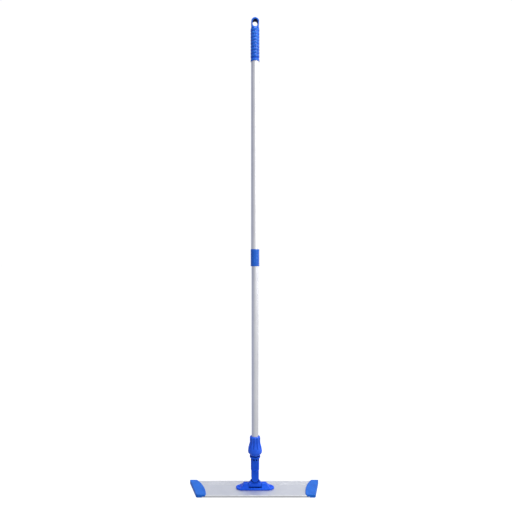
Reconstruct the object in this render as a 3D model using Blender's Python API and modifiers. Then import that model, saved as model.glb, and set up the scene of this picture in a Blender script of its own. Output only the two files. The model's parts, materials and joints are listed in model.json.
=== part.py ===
"""Flat mop: a telescopic aluminium pole on a two-way swivel joint and a trapezoid hook-and-loop frame.

Metres, +Z up. The origin is on the floor, under the middle of the frame and on the pole's axis.
+Y points to the frame's long back edge, +X along the frame.
"""

from math import atan2, cos, hypot, pi, radians, sin, sqrt

import bmesh
import bpy
from mathutils import Matrix, Vector

MM = 0.001
GAP = 0.3 * MM  # clearance between neighbouring pieces
ROUND = 32  # segments round a tube
FINE = 16  # segments round a pin
SCREW = 12  # segments round a screw

# Frame: half lengths of the back and front edges, and half the depth
BACK_HALF = 209 * MM
FRONT_HALF = 182 * MM
DEPTH_HALF = 47.5 * MM
CAP_BAND = 17 * MM  # width of the cap beyond the plate's slanted end
SKIN_BOTTOM = 5.2 * MM
SKIN_TOP = 7.0 * MM
LIP_BOTTOM = 0.9 * MM
LIP_THICK = 2.0 * MM
RAIL_TOP = 8.5 * MM
RAIL_WIDTH = 2.6 * MM
RIB_Y = 15 * MM
CAP_BOTTOM = 0.6 * MM
CAP_TOP_FRONT = 10.0 * MM
CAP_TOP_BACK = 12.2 * MM
STRIP_LENGTH_HALF = 150 * MM
STRIP_HALF = 12.5 * MM
STRIP_TOP = 4.9 * MM
STRIP_PITCH = 30 * MM

# Screws, countersunk into the plate from below
SCREW_R = 1.5 * MM
SCREW_HEAD_R = 3.0 * MM
CAP_SCREW_TIP = 9.3 * MM
BRACKET_SCREW_TIP = 10.5 * MM
CAP_SCREWS = {"back": (180.5 * MM, 30 * MM), "front": (162 * MM, -30 * MM)}
BRACKET_SCREWS = (38 * MM, 9 * MM)

# Swivel joint
TILT_Z = 17 * MM  # axis along X, through the barrel
SWING_Z = 41 * MM  # axis along Y, through the fork
BARREL_R = 9.5 * MM
BARREL_HALF = 19.7 * MM
TONGUE_HALF = 4.6 * MM
TONGUE_R = 11.3 * MM
TONGUE_SHOULDER = 18 * MM
PRONG_IN = 5.0 * MM
PRONG_OUT = 10.4 * MM
PRONG_R = 11.8 * MM
SLOT_TOP = 60.6 * MM
COLUMN_R = 13.4 * MM
PANEL_Y = 11.0 * MM  # depth of the flat panels on the column
COLLAR_R = 16.8 * MM
SPIGOT_R = 14.6 * MM
SPIGOT_TOP = 141 * MM
THREADS = 5
THREAD_PITCH = 5 * MM
SOCKET_FLOOR = 96 * MM
SOCKET_R = 11.35 * MM
TILT_PIN_R = 2.5 * MM
SWING_PIN_R = 3.0 * MM

# Base bracket
FLANGE_HALF = 60 * MM
FLANGE_DEPTH = 17 * MM
FLANGE_TOP = 12 * MM
LUG_IN = 20.2 * MM
LUG_TOP_OUT = 34 * MM
LUG_FOOT_OUT = 43 * MM
LUG_FOOT_Y = 15.5 * MM
LUG_R = 9.7 * MM
LIP_OUT = 16 * MM
LIP_IN = 12.8 * MM
LIP_TOP = 13.8 * MM

# Clamp nut
NUT_BOTTOM = 112 * MM
NUT_BORE = 15.2 * MM
FLUTES = 10
FLUTE_DEPTH = 1.0 * MM
COLLET_BOTTOM = 141.6 * MM
COLLET_TOP = 160.5 * MM

# Pole
UPPER_R = 12.5 * MM
LOWER_R = 11.0 * MM
WALL = 1.2 * MM
LOWER_BOTTOM = 98 * MM
LOWER_TOP = 822 * MM
SLEEVE_BOTTOM = 706 * MM
SLEEVE_TOP = 759.5 * MM
SLEEVE_R = 13.9 * MM
UPPER_BOTTOM = 712 * MM
UPPER_TOP = 1446 * MM
LOCK_PIN_Z = 806 * MM

# Grip
GRIP_BOTTOM = 1349 * MM
GRIP_TOP = 1487 * MM
GRIP_R = 13.3 * MM
RIBS = 8
RIB_PITCH = 10.2 * MM
RIB_START = 1366 * MM
RIB_RISE = 0.7 * MM
EYE_R = 12.3 * MM
EYE_HALF = 11 * MM
EYE_HOLE_R = 8.2 * MM
EYE_HOLE_LOW = 1456.8 * MM
EYE_STRAP = 6 * MM

BLUE = ("blue_plastic", (0.02, 0.11, 0.62), 0.35, 0.0)
ALUMINIUM = ("anodised_aluminium", (0.66, 0.67, 0.70), 0.32, 1.0)
STEEL = ("stainless_steel", (0.55, 0.55, 0.56), 0.25, 1.0)
NYLON = ("grey_nylon", (0.35, 0.36, 0.38), 0.5, 0.0)
HOOKS = ("hook_tape", (0.05, 0.05, 0.055), 0.8, 0.0)


def clear_scene():
    for obj in list(bpy.data.objects):
        bpy.data.objects.remove(obj)


def collection(name):
    made = bpy.data.collections.new(name)
    bpy.context.scene.collection.children.link(made)
    return made


def material(kind):
    name, colour, roughness, metallic = kind
    made = bpy.data.materials.get(name)
    if made is None:
        made = bpy.data.materials.new(name)
        made.use_nodes = True
        shader = made.node_tree.nodes["Principled BSDF"]
        shader.inputs["Base Color"].default_value = (*colour, 1)
        shader.inputs["Roughness"].default_value = roughness
        shader.inputs["Metallic"].default_value = metallic
        made.diffuse_color = (*colour, 1)
    return made


def add(name, data, kind=None):
    """Links a mesh or curve as a part, or as a hidden cutter where it has no material."""
    obj = bpy.data.objects.new(name, data)
    if kind is None:
        cutters.objects.link(obj)
        obj.hide_render = True
        obj.display_type = "WIRE"
    else:
        mop.objects.link(obj)
        data.materials.append(material(kind))
    return obj


def turned(name, profile, kind=None, origin=0.0, segments=ROUND):
    """An outline of (radius, height), downwards on its outer side, turned about Z.

    It starts and ends on the axis, or is closed where it doesn't touch the axis.
    """
    mesh = bpy.data.meshes.new(name)
    points = [(r, 0, z - origin) for r, z in profile]
    count = len(points)
    edges = [(i, i + 1) for i in range(count - 1)]
    if profile[0][0] > 0:
        edges.append((count - 1, 0))
    mesh.from_pydata(points, edges, [])
    obj = add(name, mesh, kind)
    obj.location.z = origin
    screw = obj.modifiers.new("Turn", "SCREW")
    screw.steps = segments
    screw.render_steps = segments
    screw.use_merge_vertices = True
    screw.merge_threshold = 0.00001
    return as_mesh(obj)


def as_mesh(obj):
    """The object's evaluated shape as a plain mesh, welded, in its place."""
    bpy.context.view_layer.update()
    graph = bpy.context.evaluated_depsgraph_get()
    mesh = bpy.data.meshes.new_from_object(obj.evaluated_get(graph))
    work = bmesh.new()
    work.from_mesh(mesh)
    bmesh.ops.remove_doubles(work, verts=work.verts, dist=0.00001)
    work.to_mesh(mesh)
    work.free()
    name = obj.name
    kinds = [slot for slot in obj.data.materials]
    made = bpy.data.objects.new(name, mesh)
    made.matrix_world = obj.matrix_world
    made.hide_render = obj.hide_render
    made.display_type = obj.display_type
    obj.users_collection[0].objects.link(made)
    bpy.data.objects.remove(obj)
    made.name = name
    if kinds and not mesh.materials:
        mesh.materials.append(kinds[0])
    return made


PLANES = {
    "XY": Matrix.Identity(4),
    "XZ": Matrix(((1, 0, 0, 0), (0, 0, -1, 0), (0, 1, 0, 0), (0, 0, 0, 1))),
    "YZ": Matrix(((0, 0, 1, 0), (1, 0, 0, 0), (0, 1, 0, 0), (0, 0, 0, 1))),
}


def extruded(name, outlines, plane, middle, half, kind=None):
    """Flat outlines on a plane through `middle` along its normal, extruded by `half` each way."""
    curve = bpy.data.curves.new(name, "CURVE")
    curve.dimensions = "2D"
    curve.fill_mode = "BOTH"
    curve.extrude = half
    for outline in outlines:
        spline = curve.splines.new("POLY")
        spline.points.add(len(outline) - 1)
        for point, (u, v) in zip(spline.points, outline):
            point.co = (u, v, 0, 1)
        spline.use_cyclic_u = True
    obj = add(name, curve, kind)
    shift = -middle if plane == "XZ" else middle
    obj.matrix_world = PLANES[plane] @ Matrix.Translation((0, 0, shift))
    return as_mesh(obj)


def slab(name, outline, low, high, kind=None):
    """A flat outline with vertical walls between two heights."""
    return extruded(name, [outline], "XY", (low + high) / 2, (high - low) / 2, kind)


def block(name, low, high, kind=None):
    """A box between two corners."""
    low, high = Vector(low), Vector(high)
    work = bmesh.new()
    bmesh.ops.create_cube(work, size=1.0, matrix=Matrix.Diagonal((*(high - low), 1)))
    mesh = bpy.data.meshes.new(name)
    work.to_mesh(mesh)
    work.free()
    obj = add(name, mesh, kind)
    obj.location = (low + high) / 2
    return obj


TURNS = {"X": Matrix.Rotation(pi / 2, 4, "Y"), "Y": Matrix.Rotation(pi / 2, 4, "X"), "Z": Matrix.Identity(4)}


def rod(name, axis, radius, start, end, centre, kind=None, segments=FINE):
    """A cylinder along X, Y or Z from start to end, through a centre given on the other two axes."""
    work = bmesh.new()
    size = {"segments": segments, "radius1": radius, "radius2": radius, "depth": end - start}
    bmesh.ops.create_cone(work, cap_ends=True, matrix=TURNS[axis], **size)
    mesh = bpy.data.meshes.new(name)
    work.to_mesh(mesh)
    work.free()
    obj = add(name, mesh, kind)
    obj.location = centre
    setattr(obj.location, axis.lower(), (start + end) / 2)
    return obj


def combine(obj, other, operation):
    modifier = obj.modifiers.new(other.name, "BOOLEAN")
    modifier.operation = operation
    modifier.object = other
    modifier.solver = "EXACT"
    other.hide_render = True


def cut(obj, *others):
    for other in others:
        combine(obj, other, "DIFFERENCE")


def join(obj, *others):
    for other in others:
        combine(obj, other, "UNION")


def bevel(obj, width, segments=1, angle=40):
    modifier = obj.modifiers.new("Bevel", "BEVEL")
    modifier.width = width
    modifier.segments = segments
    modifier.limit_method = "ANGLE"
    modifier.angle_limit = radians(angle)


def arc(cx, cy, radius, start, end, steps):
    """Points on an arc, angles in degrees."""
    angles = [radians(start + (end - start) * i / steps) for i in range(steps + 1)]
    return [(cx + radius * cos(a), cy + radius * sin(a)) for a in angles]


def smooth(obj, angle=35):
    obj.data.shade_smooth()
    obj.data.set_sharp_from_angle(angle=radians(angle))


def edge_x(y):
    """Half length of the frame at depth y: it tapers from the back edge to the front."""
    share = (y + DEPTH_HALF) / (2 * DEPTH_HALF)
    return FRONT_HALF + (BACK_HALF - FRONT_HALF) * share


def screw(name, x, y, tip):
    """Countersunk screw driven upwards, its head level with the plate's underside."""
    face = SKIN_BOTTOM + 0.15 * MM
    profile = [(0, tip), (SCREW_R, tip), (SCREW_R, SKIN_TOP - 0.35 * MM), (SCREW_HEAD_R, face)]
    profile += [(SCREW_HEAD_R / 2, face), (0, face + MM)]
    made = turned(name, profile, STEEL, 0, SCREW)
    made.location.x, made.location.y = x, y
    return made


def sink(name, x, y):
    """Cutter for a countersunk hole through the plate."""
    clear, head = SCREW_R + GAP, SCREW_HEAD_R + GAP
    cone_top = SKIN_TOP - 0.25 * MM
    cone_bottom = SKIN_BOTTOM + 0.25 * MM
    profile = [(0, SKIN_TOP + MM), (clear, SKIN_TOP + MM), (clear, cone_top), (head, cone_bottom)]
    profile += [(head, SKIN_BOTTOM - MM), (0, SKIN_BOTTOM - MM)]
    made = turned(name, profile, None, 0, SCREW)
    made.location.x, made.location.y = x, y
    return made


def screw_hole(name, x, y, low, high):
    return rod(name, "Z", SCREW_R + GAP, low, high, (x, y, 0), segments=SCREW)


def base_plate(screws):
    """Extruded aluminium profile: a skin with turned-down lips, a rail along the back and two ribs below."""
    groove, half_groove = 0.4 * MM, 0.7 * MM
    outline = [(DEPTH_HALF, LIP_BOTTOM), (DEPTH_HALF, RAIL_TOP), (DEPTH_HALF - RAIL_WIDTH, RAIL_TOP)]
    outline += [(DEPTH_HALF - RAIL_WIDTH - 0.8 * MM, SKIN_TOP)]
    for y in (32 * MM, 22 * MM):
        outline += [(y + half_groove, SKIN_TOP), (y, SKIN_TOP - groove), (y - half_groove, SKIN_TOP)]
    outline += [(-DEPTH_HALF + MM, SKIN_TOP), (-DEPTH_HALF, SKIN_TOP - MM), (-DEPTH_HALF, LIP_BOTTOM)]
    inner = DEPTH_HALF - LIP_THICK
    outline += [(-inner, LIP_BOTTOM), (-inner, SKIN_BOTTOM)]
    half_rib = LIP_THICK / 2
    for y in (-RIB_Y, RIB_Y):
        outline += [(y - half_rib, SKIN_BOTTOM), (y - half_rib, LIP_BOTTOM)]
        outline += [(y + half_rib, LIP_BOTTOM), (y + half_rib, SKIN_BOTTOM)]
    outline += [(inner, SKIN_BOTTOM), (inner, LIP_BOTTOM)]
    plate = extruded("base_plate", [outline], "YZ", 0, BACK_HALF, ALUMINIUM)
    slant = atan2(BACK_HALF - FRONT_HALF, 2 * DEPTH_HALF)
    half_saw = 30 * MM
    for side in (-1, 1):
        saw = block(f"end_saw_{side}", (-half_saw, -0.09, -0.02), (half_saw, 0.09, 0.03))
        saw.rotation_euler.z = -side * slant
        saw.location = (side * (edge_x(0) - CAP_BAND + half_saw / cos(slant)), 0, 0)
        cut(plate, saw)
    for label, (x, y) in screws.items():
        cut(plate, sink(f"plate_sink_{label}", x, y))
    return plate


def mirrored(outline, side):
    return [(side * x, y) for x, y in outline]


def cap_curve():
    """The cap's curved inner edge, from the back edge to near the front corner."""
    radius = 162 * MM
    start, end = Vector((185 * MM, DEPTH_HALF)), Vector((153 * MM, -38 * MM))
    middle, chord = (start + end) / 2, end - start
    rise = sqrt(radius**2 - (chord.length / 2) ** 2)
    centre = middle + Vector((-chord.y, chord.x)).normalized() * rise
    first = atan2(start.y - centre.y, start.x - centre.x)
    last = atan2(end.y - centre.y, end.x - centre.x)
    sweep = (last - first + pi) % (2 * pi) - pi
    steps = 12
    angles = [first + sweep * i / steps for i in range(steps + 1)]
    return [(centre.x + radius * cos(a), centre.y + radius * sin(a)) for a in angles]


def end_cap(name, side, screws):
    """Plastic end: a solid band beyond the plate's slanted end, and a curved flange over the plate."""
    corner = 3 * MM
    front_y, inner = -DEPTH_HALF + 1.5 * MM, CAP_BAND - GAP
    corner_y = DEPTH_HALF - corner
    band = [(edge_x(DEPTH_HALF) - corner, DEPTH_HALF), (edge_x(corner_y), corner_y)]
    band += [(edge_x(-corner_y), -corner_y), (edge_x(-DEPTH_HALF) - corner, -DEPTH_HALF)]
    band += [(edge_x(-DEPTH_HALF) - inner, -DEPTH_HALF), (edge_x(DEPTH_HALF) - inner, DEPTH_HALF)]
    overlap = 6 * MM
    flat = cap_curve() + [(154.2 * MM, -42.5 * MM), (157.5 * MM, front_y)]
    flat += [(edge_x(front_y) - overlap, front_y), (edge_x(DEPTH_HALF) - overlap, DEPTH_HALF)]
    low, high = SKIN_TOP + GAP, 20 * MM
    cap = slab(name, mirrored(band, side), CAP_BOTTOM, high, BLUE)
    flange = slab(f"{name}_flange", mirrored(flat, side), low, high - MM)
    rail_y = DEPTH_HALF - RAIL_WIDTH - MM
    cut(flange, block(f"{name}_rail", (-0.3, rail_y - GAP, 0), (0.3, 0.1, RAIL_TOP + GAP)))
    join(cap, flange)
    slope = atan2(CAP_TOP_BACK - CAP_TOP_FRONT, 2 * DEPTH_HALF)
    half_plane = 15 * MM
    plane = block(f"{name}_top", (-0.3, -0.1, -half_plane), (0.3, 0.1, half_plane))
    plane.rotation_euler.x = slope
    plane.location.z = (CAP_TOP_BACK + CAP_TOP_FRONT) / 2 + half_plane / cos(slope)
    cut(cap, plane)
    for label, (x, y) in screws.items():
        cut(cap, screw_hole(f"{name}_hole_{label}", x, y, SKIN_TOP - MM, CAP_SCREW_TIP + GAP))
    bevel(cap, 0.6 * MM)
    return cap


def hook_strip(name, y):
    """Strip of hooks on a stiff backing that is a little narrower."""
    step, backing = 1.8 * MM, STRIP_HALF - MM
    outline = [(STRIP_HALF, 0), (STRIP_HALF, step), (backing, step), (backing, STRIP_TOP)]
    outline += [(-u, v) for u, v in reversed(outline)]
    strip = extruded(name, [outline], "YZ", 0, STRIP_LENGTH_HALF, HOOKS)
    strip.location.y = y
    return strip


def base_bracket(screws):
    """Moulded hinge bracket: a long flange, two lugs, and a low wall each side of the barrel."""
    low = SKIN_TOP + GAP
    tip = 14.5 * MM
    half = FLANGE_HALF - tip
    plan = arc(half, 0, tip, 60, -60, 8) + [(half - MM, -FLANGE_DEPTH), (-half + MM, -FLANGE_DEPTH)]
    plan += arc(-half, 0, tip, 240, 120, 8) + [(-half + MM, FLANGE_DEPTH), (half - MM, FLANGE_DEPTH)]
    bracket = slab("base_bracket", plan, low, FLANGE_TOP, BLUE)
    bevel(bracket, 1.2 * MM, 2)
    crown = TILT_Z + LUG_R
    root = low + MM
    side_view = [(LUG_FOOT_Y, root), (LUG_FOOT_Y, FLANGE_TOP)] + arc(0, TILT_Z, LUG_R, 12, 168, 12)
    side_view += [(-LUG_FOOT_Y, FLANGE_TOP), (-LUG_FOOT_Y, root)]
    slope = atan2(LUG_FOOT_OUT - LUG_TOP_OUT, crown - FLANGE_TOP)
    half_saw = 20 * MM
    lug_middle, lug_half = (LUG_IN + LUG_FOOT_OUT) / 2, (LUG_FOOT_OUT - LUG_IN) / 2
    for side in (-1, 1):
        lug = extruded(f"lug_{side}", [side_view], "YZ", side * lug_middle, lug_half)
        saw = block(f"lug_saw_{side}", (-half_saw, -0.04, -0.05), (half_saw, 0.04, 0.05))
        saw.rotation_euler.y = -side * slope
        saw.location = (side * (LUG_TOP_OUT + half_saw / cos(slope)), 0, crown)
        cut(lug, saw)
        bevel(lug, 0.8 * MM)
        near, far = sorted((side * LIP_IN, side * LIP_OUT))
        wall_x = LUG_IN + 2 * MM
        join(bracket, lug, block(f"lip_{side}", (-wall_x, near, root), (wall_x, far, LIP_TOP)))
    cut(bracket, block("well", (-LUG_IN, -LIP_IN, 0), (LUG_IN, LIP_IN, 20 * MM)))
    pin_end = 30.5 * MM
    cut(bracket, rod("tilt_pin_hole", "X", TILT_PIN_R + GAP, -pin_end, 2 * pin_end, (0, 0, TILT_Z)))
    for label, (x, y) in screws.items():
        cut(bracket, screw_hole(f"bracket_hole_{label}", x, y, SKIN_TOP - MM, BRACKET_SCREW_TIP + GAP))
    dimple_low, dimple_x = FLANGE_TOP - 0.8 * MM, 50 * MM
    for side in (-1, 1):
        cut(bracket, rod(f"dimple_{side}", "Z", 4 * MM, dimple_low, FLANGE_TOP + MM, (side * dimple_x, 0, 0)))
    return bracket


def cross_block():
    """Barrel along X with an upright tongue: it tilts in the bracket, and the fork swings on its tongue."""
    barrel = rod("cross_block", "X", BARREL_R, -BARREL_HALF, BARREL_HALF, (0, 0, TILT_Z), BLUE, ROUND)
    shoulder_z, foot_z = TILT_Z + BARREL_R, TILT_Z + 4 * MM
    outline = arc(0, SWING_Z, TONGUE_R, 200, -20, 16)
    outline += [(TONGUE_SHOULDER, shoulder_z), (TONGUE_SHOULDER, foot_z)]
    outline += [(-TONGUE_SHOULDER, foot_z), (-TONGUE_SHOULDER, shoulder_z)]
    join(barrel, extruded("tongue", [outline], "XZ", 0, TONGUE_HALF))
    cut(barrel, rod("cross_tilt_hole", "X", TILT_PIN_R + GAP, -0.04, 0.04, (0, 0, TILT_Z)))
    cut(barrel, rod("cross_swing_hole", "Y", SWING_PIN_R + GAP, -0.02, 0.02, (0, 0, SWING_Z)))
    return barrel


def swivel_fork():
    """Socket for the pole inside a threaded spigot, on a collar and a column that ends in two prongs."""
    crest = 0.8 * MM
    collar_low, collar_high = 103.8 * MM, 109.6 * MM
    core_r = SPIGOT_R - crest
    profile = [(0, SOCKET_FLOOR), (SOCKET_R, SOCKET_FLOOR), (SOCKET_R, SPIGOT_TOP), (core_r, SPIGOT_TOP)]
    for thread in range(THREADS):
        top = SPIGOT_TOP - 3 * MM - thread * THREAD_PITCH
        profile += [(core_r, top), (SPIGOT_R, top - THREAD_PITCH / 4), (core_r, top - THREAD_PITCH / 2)]
    profile += [(core_r, collar_high), (COLLAR_R - MM, collar_high), (COLLAR_R, collar_high - MM)]
    profile += [(COLLAR_R, collar_low), (COLUMN_R, 99 * MM), (COLUMN_R, SLOT_TOP + 2.4 * MM)]
    profile += [(COLUMN_R - 2 * MM, SLOT_TOP), (0, SLOT_TOP)]
    fork = turned("swivel_fork", profile, BLUE, SWING_Z)
    root = SLOT_TOP + 6 * MM
    outline = [(PRONG_R, root), (-PRONG_R, root)] + arc(0, SWING_Z, PRONG_R, 180, 360, 16)
    prongs = extruded("prongs", [outline], "XZ", 0, PRONG_OUT)
    bevel(prongs, 1.5 * MM, 2, 60)
    slot_half = 30 * MM
    cut(prongs, block("fork_slot", (-slot_half, -PRONG_IN, 0), (slot_half, PRONG_IN, SLOT_TOP + MM)))
    blind_end = -8.8 * MM
    cut(prongs, rod("fork_pin_hole", "Y", SWING_PIN_R + GAP, blind_end, 0.03, (0, 0, SWING_Z)))
    join(fork, prongs)
    for side in (-1, 1):
        near, far = sorted((side * PANEL_Y, side * 2 * PANEL_Y))
        cut(fork, block(f"panel_{side}", (-0.02, near, SLOT_TOP + 7 * MM), (0.02, far, 94 * MM)))
    return fork


def clamp_collet():
    """Split ring with a cone outside, squeezed onto the pole by the nut."""
    inner = LOWER_R + GAP
    shoulder = COLLET_BOTTOM + 4.4 * MM
    profile = [(12.3 * MM, COLLET_TOP), (14.7 * MM, shoulder), (14.7 * MM, COLLET_BOTTOM)]
    profile += [(inner, COLLET_BOTTOM), (inner, COLLET_TOP)]
    collet = turned("clamp_collet", profile, NYLON, COLLET_BOTTOM)
    cut(collet, block("collet_slit", (5 * MM, -MM, COLLET_BOTTOM - MM), (20 * MM, MM, COLLET_TOP + MM)))
    return collet


def clamp_nut():
    """Bell-shaped nut with vertical flutes that fade out towards its wide end, and a cone inside."""
    outer = [(13.6, 171), (15.2, 170.5), (16.4, 169.2), (17.0, 167), (16.9, 153), (17.4, 149.5), (19.0, 143)]
    outer += [(20.7, 137.5), (21.8, 131), (22.3, 125), (22.3, 120), (21.0, 118.2), (16.6, 112.8), (16.0, 112)]
    inner = [(15.2, 112), (15.2, 146), (11.7, 166), (11.7, 171)]
    nut = turned("clamp_nut", [(r * MM, z * MM) for r, z in outer + inner], BLUE, NUT_BOTTOM, FLUTES * 4)
    for vertex in nut.data.vertices:
        x, y, z = vertex.co
        radius, height = hypot(x, y), z + NUT_BOTTOM
        if radius < NUT_BORE + 0.1 * MM:
            continue
        fade = ramp(height, 122 * MM, 142 * MM) * ramp(height, 169 * MM, 165 * MM)
        wave = 0.5 + 0.5 * cos(FLUTES * atan2(y, x))
        shrink = 1 - FLUTE_DEPTH * fade * wave / radius
        vertex.co = (x * shrink, y * shrink, z)
    return nut


def ramp(value, start, end):
    """0 at start to 1 at end, held beyond both."""
    return max(0.0, min(1.0, (value - start) / (end - start)))


def tube(name, radius, low, high):
    inner = radius - WALL
    return turned(name, [(radius, high), (radius, low), (inner, low), (inner, high)], ALUMINIUM, low)


def tube_plug(inner):
    """Closes the lower tube's foot: a shank inside and a rim under the end."""
    rim, bottom = LOWER_BOTTOM - GAP, LOWER_BOTTOM - 1.6 * MM
    shank_top = LOWER_BOTTOM + 20 * MM
    profile = [(0, shank_top), (inner - MM, shank_top), (inner, shank_top - 2 * MM), (inner, rim)]
    profile += [(LOWER_R - GAP, rim), (LOWER_R - GAP, bottom), (0, bottom)]
    return turned("tube_end_plug", profile, NYLON, bottom)


def twist_lock(inner):
    """Plug pinned into the lower tube's top, a split sleeve round its neck, and the screw on top."""
    seat = LOWER_TOP + GAP
    profile = [(0, 862), (4.0, 862), (4.0, 838), (7.2, 827), (7.2, 825.3), (10.9, 825.3)]
    profile = [(r * MM, z * MM) for r, z in profile] + [(10.9 * MM, seat), (inner, seat)]
    profile += [(inner, 790 * MM), (0, 790 * MM)]
    plug = turned("lock_plug", profile, NYLON, seat)
    cut(plug, rod("lock_screw_hole", "Z", SCREW_R + GAP, 846 * MM, 870 * MM, (0, 0, 0), segments=SCREW))
    sleeve = [(10.6, 853), (11.0, 852), (11.0, 830.5), (10.4, 829.5), (7.9, 829.5), (4.5, 841), (4.5, 853)]
    expander = turned("lock_expander", [(r * MM, z * MM) for r, z in sleeve], NYLON, 829.5 * MM)
    cut(expander, block("expander_slit", (0, -MM, 820 * MM), (20 * MM, MM, 860 * MM)))
    head = [(0, 866), (3.5, 866), (5.0, 864.5), (5.0, 862.3), (1.5, 862.3), (1.5, 848), (0, 848)]
    keeper = turned("lock_screw", [(r * MM, z * MM) for r, z in head], STEEL, 862.3 * MM, FINE)
    return plug, expander, keeper


def lower_pole():
    """The pole's lower tube with its end plug and twist lock; the split sleeve comes last."""
    pole = tube("lower_tube", LOWER_R, LOWER_BOTTOM, LOWER_TOP)
    inner = LOWER_R - WALL - GAP
    plug, expander, keeper = twist_lock(inner)
    for target in (pole, plug):
        name = f"{target.name}_pin_hole"
        cut(target, rod(name, "Y", SCREW_R + GAP, -0.02, 0.02, (0, 0, LOCK_PIN_Z), segments=SCREW))
    pin_half = LOWER_R - 0.4 * MM
    pin = rod("lock_pin", "Y", SCREW_R, -pin_half, pin_half, (0, 0, LOCK_PIN_Z), STEEL, SCREW)
    return [pole, tube_plug(inner), plug, pin, keeper, expander]


def upper_pole():
    """The pole's upper tube, the guide sleeve over its lower end and the grip over its upper end."""
    pole = tube("upper_tube", UPPER_R, UPPER_BOTTOM, UPPER_TOP)
    inner, lip = UPPER_R + GAP, LOWER_R + 0.35 * MM
    edge, lip_top = 0.8 * MM, UPPER_BOTTOM - GAP
    profile = [(SLEEVE_R - edge, SLEEVE_TOP), (SLEEVE_R, SLEEVE_TOP - edge), (SLEEVE_R, SLEEVE_BOTTOM + edge)]
    profile += [(SLEEVE_R - edge, SLEEVE_BOTTOM), (lip, SLEEVE_BOTTOM), (lip, lip_top), (inner, lip_top)]
    profile += [(inner, SLEEVE_TOP)]
    return [pole, turned("guide_sleeve", profile, BLUE, SLEEVE_BOTTOM), hang_grip()]


def hang_grip():
    """Moulded grip: a ringed sleeve over the tube's end, with a broad hanging eye on top."""
    inner, floor = UPPER_R + GAP, UPPER_TOP + GAP
    neck_z = 1455 * MM
    profile = [(0, neck_z), (11 * MM, neck_z), (12.2 * MM, 1452 * MM), (GRIP_R, 1446 * MM)]
    for rib in reversed(range(RIBS)):
        middle = RIB_START + rib * RIB_PITCH
        for offset, rise in ((3.4, 0), (1.6, 1), (-1.6, 1), (-3.4, 0)):
            profile.append((GRIP_R + rise * RIB_RISE, middle + offset * MM))
    profile += [(GRIP_R, GRIP_BOTTOM + 7 * MM), (GRIP_R + RIB_RISE, GRIP_BOTTOM + 4 * MM)]
    profile += [(GRIP_R + RIB_RISE, GRIP_BOTTOM), (inner, GRIP_BOTTOM), (inner, floor), (0, floor)]
    grip = turned("hang_grip", profile, BLUE, GRIP_BOTTOM)
    root = 1449 * MM
    outline = [(EYE_R - MM, root)] + arc(0, GRIP_TOP - EYE_R, EYE_R, 0, 180, 16) + [(-EYE_R + MM, root)]
    hole = arc(0, GRIP_TOP - EYE_STRAP - EYE_HOLE_R, EYE_HOLE_R, 0, 180, 12)
    hole += arc(0, EYE_HOLE_LOW + EYE_HOLE_R, EYE_HOLE_R, 180, 360, 12)
    eye = extruded("eye", [outline], "XZ", 0, EYE_HALF)
    bevel(eye, 1.6 * MM, 2, 60)
    join(grip, eye)
    cut(grip, extruded("eye_slot", [hole], "XZ", 0, 30 * MM))
    return grip


def empty(name, location):
    made = bpy.data.objects.new(name, None)
    made.location = location
    mop.objects.link(made)
    return made


def parent(pieces, holder):
    """Hangs pieces on an empty and leaves them where they are."""
    bpy.context.view_layer.update()
    for piece in pieces:
        world = piece.matrix_world.copy()
        piece.parent = holder
        piece.matrix_parent_inverse = holder.matrix_world.inverted()
        piece.matrix_world = world


def build():
    cap_screws = {}
    for label, side in (("left", -1), ("right", 1)):
        cap_screws[label] = {place: (side * x, y) for place, (x, y) in CAP_SCREWS.items()}
    bracket_screws = {}
    for x_label, x_side in (("left", -1), ("right", 1)):
        for y_label, y_side in (("front", -1), ("back", 1)):
            x, y = BRACKET_SCREWS
            bracket_screws[f"{x_label}_{y_label}"] = (x_side * x, y_side * y)
    every_screw = dict(bracket_screws)
    for label, spots in cap_screws.items():
        every_screw.update({f"cap_{label}_{place}": spot for place, spot in spots.items()})

    head = [base_plate(every_screw), base_bracket(bracket_screws)]
    for label, side in (("left", -1), ("right", 1)):
        head.append(end_cap(f"end_cap_{label}", side, cap_screws[label]))
        for place, (x, y) in cap_screws[label].items():
            head.append(screw(f"cap_screw_{label}_{place}", x, y, CAP_SCREW_TIP))
    for label, (x, y) in bracket_screws.items():
        head.append(screw(f"bracket_screw_{label}", x, y, BRACKET_SCREW_TIP))
    for label, row in (("front", -1), ("middle", 0), ("back", 1)):
        head.append(hook_strip(f"hook_strip_{label}", row * STRIP_PITCH))
    head.append(rod("tilt_pin", "X", TILT_PIN_R, -30 * MM, 32 * MM, (0, 0, TILT_Z), STEEL))
    swing_pin = rod("swing_pin", "Y", SWING_PIN_R, -8.4 * MM, PRONG_OUT - 0.4 * MM, (0, 0, SWING_Z), STEEL)

    frame = empty("frame_origin", (0, 0, 0))
    tilt = empty("tilt_axis", (0, 0, TILT_Z))
    swing = empty("swing_axis", (0, 0, SWING_Z))
    pole = empty("pole_axis", (0, 0, LOWER_BOTTOM))
    parent([tilt] + head, frame)
    parent([swing, cross_block()], tilt)
    parent([swivel_fork(), swing_pin, clamp_collet(), clamp_nut(), pole], swing)
    parent(lower_pole() + upper_pole(), pole)
    for obj in mop.objects:
        if obj.type == "MESH":
            smooth(obj)


clear_scene()
mop = collection("flat_mop")
cutters = collection("cutters")
build()
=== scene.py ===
import json
from math import atan2, cos, pi, radians, sin, sqrt

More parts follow.
